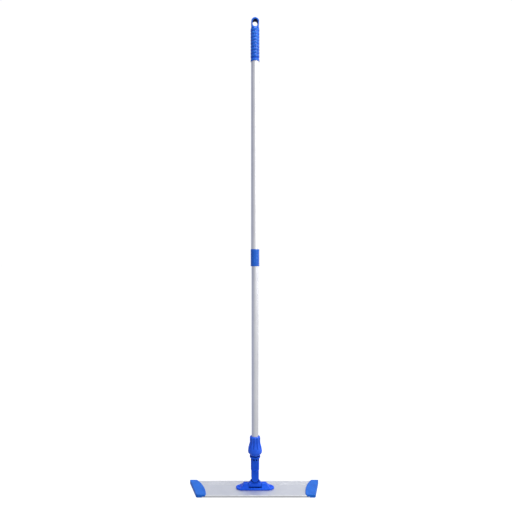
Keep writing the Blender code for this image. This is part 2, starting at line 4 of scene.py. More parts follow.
import bmesh
import bpy
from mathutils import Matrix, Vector


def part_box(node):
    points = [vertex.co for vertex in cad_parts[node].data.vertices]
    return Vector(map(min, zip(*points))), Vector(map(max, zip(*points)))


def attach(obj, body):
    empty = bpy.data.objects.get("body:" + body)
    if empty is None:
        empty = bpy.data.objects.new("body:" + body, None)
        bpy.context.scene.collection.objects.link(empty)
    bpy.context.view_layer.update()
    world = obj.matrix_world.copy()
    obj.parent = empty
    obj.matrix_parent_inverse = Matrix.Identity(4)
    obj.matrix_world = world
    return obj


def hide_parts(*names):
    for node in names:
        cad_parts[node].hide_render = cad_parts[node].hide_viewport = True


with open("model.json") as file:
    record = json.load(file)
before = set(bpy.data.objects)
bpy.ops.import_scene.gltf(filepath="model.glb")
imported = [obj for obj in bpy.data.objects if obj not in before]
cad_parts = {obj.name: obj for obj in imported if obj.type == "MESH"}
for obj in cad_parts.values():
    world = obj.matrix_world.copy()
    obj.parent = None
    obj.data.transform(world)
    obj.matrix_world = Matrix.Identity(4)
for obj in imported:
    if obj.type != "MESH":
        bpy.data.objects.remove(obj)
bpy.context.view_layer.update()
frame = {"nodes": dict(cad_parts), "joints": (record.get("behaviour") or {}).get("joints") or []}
jointPlace = {joint["name"]: Vector(joint.get("pos_m", (0, 0, 0))) for joint in frame["joints"]}
tiltZ = jointPlace["head_tilt"].z
swingZ = jointPlace["side_swing"].z
mm = 0.001


# modelling helpers

def pickNothing():
    if bpy.context.object and bpy.context.object.mode == "EDIT":
        bpy.ops.object.mode_set(mode="OBJECT")
    bpy.ops.object.select_all(action="DESELECT")


def pickOnly(piece):
    pickNothing()
    piece.select_set(True)
    bpy.context.view_layer.objects.active = piece


def arcPoints(centre, radius, start, end, steps):
    turns = [radians(start + (end - start) * i / steps) for i in range(steps + 1)]
    return [(centre[0] + radius * cos(t), centre[1] + radius * sin(t)) for t in turns]


def onPlane(normal, u, v, w):
    places = {"X": (w, u, v), "Y": (u, w, v), "Z": (u, v, w)}
    return places[normal]


def penStroke(name, points, closed=True):
    # a plane merged to one vertex, which is then extruded from point to point
    pickNothing()
    bpy.ops.mesh.primitive_plane_add(size=mm, location=points[0])
    piece = bpy.context.object
    piece.name = piece.data.name = name
    bpy.ops.object.transform_apply(location=True, rotation=True, scale=True)
    bpy.ops.object.mode_set(mode="EDIT")
    bpy.ops.mesh.select_mode(type="VERT")
    bpy.ops.mesh.select_all(action="SELECT")
    bpy.ops.mesh.merge(type="CENTER")
    path = list(points) + ([points[0]] if closed else [])
    for here, there in zip(path, path[1:]):
        step = tuple(Vector(there) - Vector(here))
        bpy.ops.mesh.extrude_vertices_move(TRANSFORM_OT_translate={"value": step})
    bpy.ops.mesh.select_all(action="SELECT")
    bpy.ops.mesh.remove_doubles(threshold=0.001 * mm)
    return piece


def closeUp():
    bpy.ops.mesh.select_all(action="SELECT")
    bpy.ops.mesh.remove_doubles(threshold=0.001 * mm)
    bpy.ops.mesh.normals_make_consistent(inside=False)
    bpy.ops.object.mode_set(mode="OBJECT")


def slab(name, outline, normal, start, end):
    piece = penStroke(name, [onPlane(normal, u, v, start) for u, v in outline])
    bpy.ops.mesh.edge_face_add()
    travel = onPlane(normal, 0, 0, end - start)
    bpy.ops.mesh.extrude_region_move(TRANSFORM_OT_translate={"value": travel})
    closeUp()
    return piece


def turned(name, profile, sides=96):
    # profile is (radius, height) round the whole section, or from axis to axis
    piece = penStroke(name, [(r, 0, z) for r, z in profile], closed=profile[0][0] > 0)
    bpy.ops.mesh.spin(steps=sides, angle=2 * pi, center=(0, 0, 0), axis=(0, 0, 1))
    closeUp()
    return piece


def box(name, low, high):
    pickNothing()
    middle = [(a + b) / 2 for a, b in zip(low, high)]
    bpy.ops.mesh.primitive_cube_add(size=1, location=middle, scale=[b - a for a, b in zip(low, high)])
    piece = bpy.context.object
    piece.name = piece.data.name = name
    bpy.ops.object.transform_apply(location=True, rotation=True, scale=True)
    return piece


def rod(name, axis, radius, start, end, centre, sides=48):
    pickNothing()
    turn = {"X": (0, pi / 2, 0), "Y": (pi / 2, 0, 0), "Z": (0, 0, 0)}[axis]
    spot = list(centre)
    spot["XYZ".index(axis)] = (start + end) / 2
    bpy.ops.mesh.primitive_cylinder_add(
        vertices=sides, radius=radius, depth=end - start, location=spot, rotation=turn
    )
    piece = bpy.context.object
    piece.name = piece.data.name = name
    bpy.ops.object.transform_apply(location=True, rotation=True, scale=True)
    return piece


def applyModifier(piece, kind, **settings):
    pickOnly(piece)
    modifier = piece.modifiers.new(kind.lower(), kind)
    for key, value in settings.items():
        setattr(modifier, key, value)
    bpy.ops.object.modifier_apply(modifier=modifier.name)


def carve(piece, *tools, how="DIFFERENCE"):
    for tool in tools:
        applyModifier(piece, "BOOLEAN", operation=how, object=tool, solver="EXACT")
        bpy.data.objects.remove(tool)


def weldOn(piece, *others):
    carve(piece, *others, how="UNION")


def soften(piece, width, segments=2, angle=30):
    applyModifier(
        piece, "BEVEL", width=width, segments=segments, limit_method="ANGLE", angle_limit=radians(angle)
    )


def smoothShade(piece, angle=35):
    pickOnly(piece)
    bpy.ops.object.shade_smooth_by_angle(angle=radians(angle))


def mend(piece):
    # closes slits left where a bevel met a carved edge
    pickOnly(piece)
    bpy.ops.object.mode_set(mode="EDIT")
    bpy.ops.mesh.select_mode(type="VERT")
    bpy.ops.mesh.select_all(action="SELECT")
    bpy.ops.mesh.remove_doubles(threshold=0.01 * mm)
    bpy.ops.mesh.select_all(action="DESELECT")
    bpy.ops.mesh.select_non_manifold()
    bpy.ops.mesh.fill_holes(sides=0)
    bpy.ops.mesh.select_all(action="SELECT")
    bpy.ops.mesh.normals_make_consistent(inside=False)
    bpy.ops.object.mode_set(mode="OBJECT")


def sliceOff(piece, place, normal):
    # cuts away what lies beyond a plane and closes the cut
    pickOnly(piece)
    bpy.ops.object.mode_set(mode="EDIT")
    bpy.ops.mesh.select_all(action="SELECT")
    bpy.ops.mesh.bisect(plane_co=place, plane_no=normal, use_fill=True, clear_outer=True)
    bpy.ops.object.mode_set(mode="OBJECT")


def paintFaces(piece, finish, wanted):
    # a second finish on the faces that pass the test
    piece.data.materials.append(finish)
    for face in piece.data.polygons:
        if wanted(face.center, face.normal):
            face.material_index = len(piece.data.materials) - 1


def finishPiece(piece, body, finish, slot, *nodes, smooth=35):
    smoothShade(piece, smooth)
    applyModifier(piece, "WEIGHTED_NORMAL", weight=100, keep_sharp=True)
    piece.data.materials.clear()
    piece.data.materials.append(finish)
    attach(piece, body)
    if nodes:
        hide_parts(*nodes)
    return piece


# finishes

def newFinish(name, colour, roughness, metallic=0.0, **more):
    finish = bpy.data.materials.new(name)
    finish.use_nodes = True
    shader = finish.node_tree.nodes["Principled BSDF"]
    shader.inputs["Base Color"].default_value = (*colour, 1)
    shader.inputs["Roughness"].default_value = roughness
    shader.inputs["Metallic"].default_value = metallic
    for socket, value in more.items():
        shader.inputs[socket.replace("_", " ")].default_value = value
    return finish


def addNode(finish, kind, **sockets):
    node = finish.node_tree.nodes.new(kind)
    for socket, value in sockets.items():
        node.inputs[socket.replace("_", " ")].default_value = value
    return node


def wire(finish, outlet, inlet):
    finish.node_tree.links.new(outlet, inlet)


def pattern(finish, stretch, scale, detail=3.0, roughness=0.5):
    # noise on the piece's own coordinates, stretched along a direction
    place = addNode(finish, "ShaderNodeTexCoord")
    turn = addNode(finish, "ShaderNodeMapping", Scale=stretch)
    noise = addNode(finish, "ShaderNodeTexNoise", Scale=scale, Detail=detail, Roughness=roughness)
    wire(finish, place.outputs["Object"], turn.inputs["Vector"])
    wire(finish, turn.outputs["Vector"], noise.inputs["Vector"])
    return noise.outputs["Fac"]


def span(finish, value, low, high, toLow, toHigh):
    node = addNode(finish, "ShaderNodeMapRange")
    for socket, number in (("From Min", low), ("From Max", high), ("To Min", toLow), ("To Max", toHigh)):
        node.inputs[socket].default_value = number
    wire(finish, value, node.inputs["Value"])
    return node.outputs["Result"]


def maths(finish, operation, first, second):
    node = finish.node_tree.nodes.new("ShaderNodeMath")
    node.operation = operation
    for socket, value in zip(node.inputs, (first, second)):
        if isinstance(value, (int, float)):
            socket.default_value = value
        else:
            wire(finish, value, socket)
    return node.outputs["Value"]


def blend(finish, share, first, second, kind="RGBA"):
    node = finish.node_tree.nodes.new("ShaderNodeMix")
    node.data_type = kind
    start, result = (6, 2) if kind == "RGBA" else (2, 0)
    wire(finish, share, node.inputs[0])
    for socket, value in zip(node.inputs[start:start + 2], (first, second)):
        if isinstance(value, tuple):
            socket.default_value = (*value, 1)
        elif isinstance(value, float):
            socket.default_value = value
        else:
            wire(finish, value, socket)
    return node.outputs[result]


def bump(finish, height, strength, distance, under=None):
    node = addNode(finish, "ShaderNodeBump", Strength=strength, Distance=distance)
    wire(finish, height, node.inputs["Height"])
    if under is not None:
        wire(finish, under, node.inputs["Normal"])
    return node.outputs["Normal"]


def plugIn(finish, socket, outlet):
    wire(finish, outlet, finish.node_tree.nodes["Principled BSDF"].inputs[socket])


def bluePlastic(name, colour, pale, deep, roughness=0.36, wear=0.5, gloss=0.25):
    # moulded plastic: fine spark grain, cloudy shade, rubbed patches and a few hairline scuffs
    coolSheen = (0.7, 0.95, 1.0, 1)
    finish = newFinish(name, colour, roughness, Specular_IOR_Level=gloss, IOR=1.5, Specular_Tint=coolSheen)
    cloud = pattern(finish, (1, 1, 0.6), 34, 4)
    shade = blend(finish, span(finish, cloud, 0.38, 0.62, 0, 1), deep, colour)
    rubbed = span(finish, pattern(finish, (1, 1, 1), 110, 6, 0.7), 0.56, 0.74, 0, wear)
    scuff = span(finish, pattern(finish, (1, 0.08, 0.5), 420, 5, 0.65), 0.66, 0.74, 0, wear)
    worn = maths(finish, "MAXIMUM", rubbed, scuff)
    plugIn(finish, "Base Color", blend(finish, worn, shade, pale))
    rough = maths(finish, "ADD", maths(finish, "MULTIPLY", worn, 0.22),
                  span(finish, cloud, 0.3, 0.7, roughness - 0.05, roughness + 0.06))
    plugIn(finish, "Roughness", rough)
    grain = bump(finish, pattern(finish, (1, 1, 1), 1500, 2), 0.22, 0.15 * mm)
    ripple = bump(finish, pattern(finish, (1, 1, 1), 70, 2), 0.10, 0.5 * mm, grain)
    plugIn(finish, "Normal", ripple)
    return finish


def drawnAluminium(name, colour, dull, along, roughness, rub=0.35):
    # satin anodised extrusion: hairlines along its length, cloudy tone and fine rub marks across it
    finish = newFinish(name, colour, roughness, 1.0)
    hairStretch = tuple(0.012 if axis == along else 1.0 for axis in "XYZ")
    rubStretch = tuple(1.0 if axis == along else 0.15 for axis in "XYZ")
    hair = pattern(finish, hairStretch, 2600, 2, 0.5)
    die = pattern(finish, hairStretch, 420, 2, 0.5)
    cloud = pattern(finish, (1, 1, 1), 22, 5, 0.6)
    marks = span(finish, pattern(finish, rubStretch, 300, 6, 0.7), 0.60, 0.72, 0, rub)
    tone = maths(finish, "ADD", span(finish, cloud, 0.35, 0.65, 0, 0.55), marks)
    plugIn(finish, "Base Color", blend(finish, tone, colour, dull))
    rough = maths(finish, "ADD", span(finish, hair, 0.3, 0.7, roughness - 0.05, roughness + 0.07),
                  maths(finish, "MULTIPLY", marks, 0.25))
    plugIn(finish, "Roughness", rough)
    lines = bump(finish, hair, 0.08, 0.03 * mm)
    plugIn(finish, "Normal", bump(finish, die, 0.04, 0.03 * mm, lines))
    return finish


def turnedSteel(name, colour, tarnish, roughness=0.3):
    finish = newFinish(name, colour, roughness, 1.0)
    lathe = pattern(finish, (1, 1, 1), 900, 4, 0.6)
    stain = span(finish, pattern(finish, (1, 1, 1), 240, 5, 0.7), 0.5, 0.72, 0, 0.6)
    plugIn(finish, "Base Color", blend(finish, stain, colour, tarnish))
    plugIn(finish, "Roughness", span(finish, lathe, 0.3, 0.7, roughness - 0.08, roughness + 0.14))
    plugIn(finish, "Normal", bump(finish, lathe, 0.15, 0.05 * mm))
    return finish


def mouldedNylon(name, colour, pale, roughness=0.5):
    finish = newFinish(name, colour, roughness)
    cloud = pattern(finish, (1, 1, 1), 90, 4)
    plugIn(finish, "Base Color", blend(finish, span(finish, cloud, 0.35, 0.7, 0, 1), colour, pale))
    plugIn(finish, "Roughness", span(finish, cloud, 0.3, 0.7, roughness - 0.06, roughness + 0.1))
    plugIn(finish, "Normal", bump(finish, pattern(finish, (1, 1, 1), 1400, 3), 0.25, 0.12 * mm))
    return finish


def hookTape(name, colour, lint):
    # dark nylon with a woven ground and pale lint caught here and there
    finish = newFinish(name, colour, 0.75, Sheen_Weight=0.15)
    caught = span(finish, pattern(finish, (0.3, 1, 1), 260, 6, 0.75), 0.62, 0.74, 0, 0.7)
    shade = blend(finish, pattern(finish, (1, 1, 1), 60, 4), colour, tuple(1.8 * c for c in colour))
    plugIn(finish, "Base Color", blend(finish, caught, shade, lint))
    plugIn(finish, "Roughness", span(finish, caught, 0, 0.7, 0.62, 0.9))
    ribs = bump(finish, pattern(finish, (0.25, 1, 1), 1600, 2), 0.5, 0.2 * mm)
    plugIn(finish, "Normal", bump(finish, pattern(finish, (1, 0.2, 1), 1100, 2), 0.4, 0.2 * mm, ribs))
    return finish


print("finishes")
# blue plastics: colour, rubbed pale, deep shade, roughness, wear, gloss
blueHandle = bluePlastic(
    "blueHandle", (0.005, 0.122, 0.66), (0.04, 0.34, 0.88), (0.003, 0.090, 0.58), 0.25, 0.3, 0.60)
blueJoint = bluePlastic(
    "blueJoint", (0.006, 0.098, 0.78), (0.03, 0.19, 0.88), (0.003, 0.074, 0.68), 0.38, 0.3)
# partly the caps' own lighter tone, partly painted top light on their upward faces
blueCapWithTopLight = bluePlastic("blueCapWithTopLight", (0.014, 0.150, 0.66), (0.08, 0.28, 0.80), (0.009, 0.118, 0.56), 0.42, 0.5)
# painted light: a lighter, paler copy of the joint blue for the nut, standing in for the top light on its
# upward-facing bell
blueNutWithTopLight = bluePlastic(
    "blueNutWithTopLight", (0.018, 0.125, 0.86), (0.06, 0.24, 0.92), (0.010, 0.098, 0.78), 0.34, 0.3, 0.42)
# painted shade: a darker blue laid in the grip's rib valleys and in the nut's flutes
grooveShadeBlue = bluePlastic(
    "grooveShadeBlue", (0.004, 0.070, 0.60), (0.03, 0.17, 0.78), (0.003, 0.055, 0.50), 0.36, 0.3)
# painted shade: a near-black blue laid on gaps, hollows and recesses that face away from the light, standing
# in for their shadow
paintedShadeBlue = bluePlastic(
    "paintedShadeBlue", (0.001, 0.006, 0.13), (0.004, 0.03, 0.24), (0.001, 0.004, 0.09), 0.55, 0.3, 0.04)
# metals: colour, duller colour, direction of the hairlines, roughness, rub
upperAluminium = drawnAluminium("upperAluminium", (0.88, 0.88, 0.90), (0.80, 0.80, 0.83), "Z", 0.42, 0.25)
# painted shade: a darker, bluer copy of the upper tube's aluminium, standing in for the dimmer light low down
lowerShadedAluminium = drawnAluminium("lowerShadedAluminium", (0.80, 0.81, 0.85), (0.70, 0.71, 0.76), "Z", 0.40, 0.35)
plateAluminium = drawnAluminium(
    "plateAluminium", (0.74, 0.75, 0.765), (0.68, 0.69, 0.71), "X", 0.60, 0.3)
# painted shade: a darker copy of the plate aluminium for the back rail and the groove floors
railShadedAluminium = drawnAluminium("railShadedAluminium", (0.60, 0.605, 0.62), (0.54, 0.55, 0.57), "X", 0.62, 0.2)
pinSteel = turnedSteel("pinSteel", (0.56, 0.56, 0.57), (0.30, 0.29, 0.28))
greyNylon = mouldedNylon("greyNylon", (0.20, 0.205, 0.215), (0.30, 0.305, 0.315))
darkHooks = hookTape("darkHooks", (0.018, 0.018, 0.020), (0.30, 0.30, 0.31))


# camera and light

cameraLook = {"lens": 33.75, "distance": 1.512, "aside": -0.0914, "height": 0.738, "shift": 0.0586,
              "sensor": 36}


def setCamera():
    pickNothing()
    place = (cameraLook["aside"], -cameraLook["distance"], cameraLook["height"])
    bpy.ops.object.camera_add(location=place, rotation=(pi / 2, 0, 0))
    camera = bpy.context.object
    camera.name = "camera"
    camera.data.lens = cameraLook["lens"]
    camera.data.sensor_width = cameraLook["sensor"]
    camera.data.shift_x = cameraLook["shift"]
    bpy.context.scene.camera = camera


studioLook = {
    "floorSize": 60, "floorShade": (0.30, 0.30, 0.30, 1), "floorGlow": 0.88, "backdrop": 1.02,
    "level": 0.56, "swing": 0.25, "toward": (0.82, -0.57), "behind": 0.34, "below": (0.60, 0.80),
    "nadir": 0.12, "coolTint": (0.78, 0.82, 1.0), "warmTint": (1.0, 1.0, 1.0),
    "key": ((1.15, -1.25, 1.60), 0.9, 1.5, 12), "rim": ((1.7, 0.5, 1.2), 0.5, 1.8, 6),
    "top": ((0.25, -0.25, 2.8), 1.0, 1.0, 34), "aimLow": 0.3, "aimDrop": 0.2,
}


def setFloor():
    # only the camera sees it, from above: white, with a faint contact shadow
    pickNothing()
    bpy.ops.mesh.primitive_plane_add(size=studioLook["floorSize"], location=(0, 0, 0))
    floor = bpy.context.object
    floor.name = "floor"
    finish = bpy.data.materials.new("paleFloor")
    finish.use_nodes = True
    tree = finish.node_tree
    tree.nodes.remove(tree.nodes["Principled BSDF"])
    glow = addNode(finish, "ShaderNodeEmission", Strength=studioLook["floorGlow"])
    pale = addNode(finish, "ShaderNodeBsdfDiffuse", Color=studioLook["floorShade"])
    kinds = ("NewGeometry", "BsdfTransparent", "AddShader", "MixShader")
    face, clear, both, pick = (tree.nodes.new("ShaderNode" + kind) for kind in kinds)
    wire(finish, glow.outputs[0], both.inputs[0])
    wire(finish, pale.outputs[0], both.inputs[1])
    wire(finish, face.outputs["Backfacing"], pick.inputs[0])
    wire(finish, both.outputs[0], pick.inputs[1])
    wire(finish, clear.outputs[0], pick.inputs[2])
    wire(finish, pick.outputs[0], tree.nodes["Material Output"].inputs["Surface"])
    floor.data.materials.append(finish)
    floor.visible_diffuse = floor.visible_glossy = floor.visible_shadow = False


def setSky():
    # a soft room: brighter on the right, cooler and dimmer on the left, with a pale floor below
    look = studioLook
    world = bpy.data.worlds.new("studio")
    bpy.context.scene.world = world
    world.use_nodes = True
    sky = world.node_tree.nodes["Background"]
    direction, split = addNode(world, "ShaderNodeTexCoord"), addNode(world, "ShaderNodeSeparateXYZ")
    wire(world, direction.outputs["Generated"], split.inputs[0])
    eastward, backward, upward = split.outputs

    acrossX, acrossY = look["toward"]
    across = maths(world, "ADD", span(world, eastward, -1, 1, -acrossX, acrossX),
                   span(world, backward, -1, 1, -acrossY, acrossY))
    swing = span(world, across, -1, 1, look["level"] - look["swing"], look["level"] + look["swing"])
    above = maths(world, "ADD", swing, span(world, backward, 0, 0.8, 0, look["behind"]))
    seen = addNode(world, "ShaderNodeLightPath").outputs["Is Camera Ray"]
    underfoot = span(world, upward, 0.02, -0.12, 0, 1)
    low = maths(world, "ADD", span(world, across, -1, 1, *look["below"]),
                span(world, upward, -0.4, -0.85, 0, look["nadir"] - look["below"][1]))
    low = maths(world, "MAXIMUM", low, look["nadir"])
    level = blend(world, underfoot, above, low, "FLOAT")
    level = blend(world, seen, level, look["backdrop"], "FLOAT")
    wire(world, level, sky.inputs["Strength"])
    warm = maths(world, "MAXIMUM", span(world, across, -0.5, 0.3, 0, 1), seen)
    wire(world, blend(world, warm, look["coolTint"], look["warmTint"]), sky.inputs["Color"])


def setLamps():
    for name in ("key", "rim", "top"):
        place, wide, tall, power = studioLook[name]
        bpy.ops.object.light_add(type="AREA", location=place)
        lamp = bpy.context.object
        lamp.name = name + "Light"
        lamp.data.shape = "RECTANGLE"
        lamp.data.size, lamp.data.size_y = wide, tall
        lamp.data.energy = power
        aimZ = studioLook["aimLow"] if name == "top" else place[2] - studioLook["aimDrop"]
        aim = Vector((0, 0, aimZ)) - Vector(place)
        lamp.rotation_euler = aim.to_track_quat("-Z", "Y").to_euler()


print("camera and light")
setCamera()
setFloor()
setSky()
setLamps()
bpy.context.scene.view_settings.view_transform = "Standard"


# pole

tubeLook = {"wall": 1.2 * mm, "edge": 0.25 * mm}


def tube(name, node, body, finish):
    low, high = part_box(node)
    outer, inner = high.x, high.x - tubeLook["wall"]
    piece = turned(name, [(outer, high.z), (outer, low.z), (inner, low.z), (inner, high.z)], 96)
    soften(piece, tubeLook["edge"], 2)
    return finishPiece(piece, body, finish, "aluminium", node)


sleeveLook = {
    "lip": 0.35 * mm, "clear": 0.3 * mm, "foot": 5.7 * mm, "bead": 0.35 * mm, "beadFoot": 3.4 * mm,
    "beadTop": 4.2 * mm, "edge": 0.3 * mm,
}


def guideSleeve():
    low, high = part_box("guide_sleeve")
    bead = sleeveLook["bead"]
    outer = high.x - bead
    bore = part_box("upper_tube")[1].x + sleeveLook["clear"]
    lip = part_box("lower_tube")[1].x + sleeveLook["lip"]
    shelf = low.z + sleeveLook["foot"]
    profile = [(outer - 0.4 * mm, high.z), (outer, high.z - 2.5 * mm), (outer, low.z + sleeveLook["beadTop"])]
    profile += [(outer + bead, low.z + sleeveLook["beadFoot"]), (outer + bead, low.z + 0.6 * mm)]
    profile += [(outer + bead - 0.5 * mm, low.z), (lip, low.z)]
    profile += [(lip, shelf), (bore, shelf), (bore, high.z)]
    piece = turned("guideSleeve", profile)
    soften(piece, sleeveLook["edge"], 3, 25)
    return finishPiece(piece, "upper_pole", blueHandle, "blue_plastic", "guide_sleeve")


gripLook = {
    "ribs": 9, "pitch": 10.2 * mm, "firstRib": 17 * mm, "rise": 0.7 * mm, "clear": 0.3 * mm,
    "eyeRadius": 12.3 * mm, "eyeDepth": 11 * mm, "holeRadius": 8.2 * mm, "strap": 6.2 * mm, "drop": 0.8 * mm,
    "holeFoot": 108 * mm, "neck": 111 * mm, "voxel": 0.54 * mm, "valley": 0.35 * mm, "grasp": 0.5 * mm,
    # one rib: height from its middle in millimetres, and share of the full rise
    "wave": ((-4.8, 0), (-4.4, 0.15), (-3.9, 0.5), (-3.2, 0.84), (-2.0, 1),
             (2.0, 1), (3.2, 0.84), (3.9, 0.5), (4.4, 0.15)),
}


def hangGrip():
    look = gripLook
    low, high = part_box("hang_grip")
    outer = high.x - look["rise"]
    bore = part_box("upper_tube")[1].x - look["grasp"]
    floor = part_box("upper_tube")[1].z + look["clear"]
    neck = low.z + look["neck"]
    profile = [(0, neck), (10.6 * mm, neck), (12.0 * mm, neck - 2.2 * mm)]
    profile += [(outer - 0.3 * mm, neck - 5 * mm), (outer, neck - 6.5 * mm)]
    valley, crest = outer - look["valley"], look["rise"] + look["valley"]
    for rib in reversed(range(look["ribs"])):
        middle = low.z + look["firstRib"] + rib * look["pitch"]
        for offset, share in reversed(look["wave"]):
            profile.append((valley + share * crest, middle + offset * mm))
    rim = outer + look["rise"]
    profile += [(outer, low.z + 8 * mm), (rim, low.z + 5.5 * mm), (rim, low.z + 0.8 * mm)]
    profile += [(rim - 0.8 * mm, low.z), (bore, low.z), (bore, floor), (0, floor)]
    grip = turned("hangGrip", profile, 96)

    eyeTop = high.z - look["drop"] - look["eyeRadius"]
    root = neck - 7 * mm
    side = look["eyeRadius"] - 0.9 * mm
    outline = [(side, root)] + arcPoints((0, eyeTop), look["eyeRadius"], 0, 180, 28) + [(-side, root)]
    eye = slab("eye", outline, "Y", -look["eyeDepth"], look["eyeDepth"])
    soften(eye, 1.8 * mm, 4, 60)
    weldOn(grip, eye)
    hole = look["holeRadius"]
    holeTop, holeFoot = high.z - look["strap"] - hole, low.z + look["holeFoot"] + hole
    outline = arcPoints((0, holeTop), hole, 0, 180, 20) + arcPoints((0, holeFoot), hole, 180, 360, 20)
    carve(grip, slab("eyeHole", outline, "Y", -30 * mm, 30 * mm))
    applyModifier(grip, "REMESH", mode="VOXEL", voxel_size=look["voxel"], use_smooth_shade=True)
    applyModifier(grip, "SMOOTH", factor=0.5, iterations=3)
    finishPiece(grip, "upper_pole", blueHandle, "blue_plastic", "hang_grip", smooth=60)

    # painted shade: the inner faces of the eye hole get the near-black painted-shade blue
    def shadedEyeInside(middle, normal):
        inHeight = low.z + look["holeFoot"] < middle.z < high.z - look["strap"] + 0.6 * mm
        inWidth = abs(middle.x) < hole + 0.4 * mm and abs(middle.y) < look["eyeDepth"] - 1.2 * mm
        return inHeight and inWidth and abs(normal.y) < 0.6
    paintFaces(grip, paintedShadeBlue, shadedEyeInside)

    # painted shade: the rib valleys get the darker groove-shade blue
    def shadedGroove(middle, normal):
        depth = outer - middle.xy.length
        return low.z + 8 * mm < middle.z < neck - 6 * mm and -0.15 * mm < depth < mm
    paintFaces(grip, grooveShadeBlue, shadedGroove)
    return grip


print("pole")
tube("upperTube", "upper_tube", "upper_pole", upperAluminium)
tube("lowerTube", "lower_tube", "lower_pole", lowerShadedAluminium)
guideSleeve()
hangGrip()


# clamp nut

nutLook = {
    "flutes": 10, "columns": 12, "depth": 2.2 * mm,
    # how deep each column of points beside a flute's middle goes, as a share of the depth
    "share": {0: 1.0, 1: 0.9, 11: 0.9, 2: 0.5, 10: 0.5, 3: 0.08, 9: 0.08},
    # in from the widest radius, and up from the foot, both in millimetres
    "outside": ((8.9, 59.0), (7.6, 58.8), (6.5, 58.1), (5.7, 56.9), (5.35, 55.2), (5.3, 53), (5.35, 50),
                (5.4, 46), (5.4, 42), (5.3, 40), (4.9, 37.5), (4.1, 34.5), (3.1, 31), (2.2, 28), (1.4, 25),
                (0.8, 22), (0.35, 18.5), (0.1, 15), (0, 12.5), (0.02, 10.6), (0.25, 9.0), (0.9, 7.8),
                (2.1, 6.6), (3.4, 5.0), (4.7, 3.2), (5.4, 2.0), (5.8, 1.1), (6.2, 0.4)),
    "inside": ((7.0, 0.4), (7.0, 34), (10.5, 54), (10.5, 58.4), (10.0, 59.0)),
    # where the flutes get painted shade: from and to in height, and how many columns either side of a flute's
    # middle
    "grooveShadeLow": 24 * mm, "grooveShadeHigh": 56 * mm, "grooveShadeColumns": 1.6,
}


def pickVerts(piece, test):
    cage = bmesh.from_edit_mesh(piece.data)
    found = 0
    for vert in cage.verts:
        vert.select = test(vert.co)
        found += vert.select
    cage.select_flush_mode()
    bmesh.update_edit_mesh(piece.data)
    return found


def clampNut():
    look = nutLook
    low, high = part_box("clamp_nut")
    wide = high.x
    sides = look["flutes"] * look["columns"]
    rings = look["outside"] + look["inside"]
    nut = turned("clampNut", [(wide - r * mm, low.z + z * mm) for r, z in rings], sides)
    pickOnly(nut)
    bpy.ops.object.mode_set(mode="EDIT")
    bpy.ops.mesh.select_mode(type="VERT")
    for inset, rise in look["outside"][3:-1]:
        radius, height = wide - inset * mm, low.z + rise * mm
        upper = min(1, max(0, (rise - 14) / 22)) * min(1, max(0, (57.6 - rise) / 2.5))
        lower = 0.45 * min(1, max(0, (10.5 - rise) / 4))
        fade = max(upper, lower)
        for level in sorted(set(look["share"].values()), reverse=True):
            deep = fade * level * look["depth"]
            if deep < 0.02 * mm:
                continue

            def inFlute(point):
                if abs(point.z - height) > 0.05 * mm or abs(point.xy.length - radius) > 0.05 * mm:
                    return False
                column = round(atan2(point.y, point.x) / (2 * pi) * sides) % look["columns"]
                return look["share"].get(column) == level

            if pickVerts(nut, inFlute):
                shrink = 1 - deep / radius
                bpy.ops.transform.resize(value=(shrink, shrink, 1), center_override=(0, 0, height))
    bpy.ops.object.mode_set(mode="OBJECT")
    applyModifier(nut, "SUBSURF", levels=1, render_levels=1)
    finishPiece(nut, "nut", blueNutWithTopLight, "blue_plastic", "clamp_nut", smooth=40)

    # painted shade: the middles of the flutes get the darker groove-shade blue
    def shadedGroove(middle, normal):
        column = atan2(middle.y, middle.x) / (2 * pi) * sides + sides + look["columns"] / 2
        offset = abs(column % look["columns"] - look["columns"] / 2)
        inHeight = look["grooveShadeLow"] < middle.z - low.z < look["grooveShadeHigh"]
        return offset < look["grooveShadeColumns"] and inHeight and middle.xy.length > wide - 9 * mm
    paintFaces(nut, grooveShadeBlue, shadedGroove)
    return nut


print("clamp nut")
clampNut()


# swivel joint

forkLook = {
    "core": 13.8 * mm, "column": 13.4 * mm, "neck": 12.4 * mm, "neckTop": 114.5 * mm, "ringTop": 109.6 * mm,
    "ringFoot": 104.6 * mm, "columnTop": 101.6 * mm, "ribs": 10, "pocket": 4.4 * mm, "pocketDeep": 1.3 * mm,
    "panel": 9.6 * mm, "panelHalf": 8.4 * mm, "prongRadius": 11.6 * mm, "prongOut": 10.4 * mm,
    "prongIn": 5.0 * mm, "slotTop": 19.6 * mm, "pin": 3.3 * mm, "socket": 11.35 * mm, "floor": 55 * mm,
}


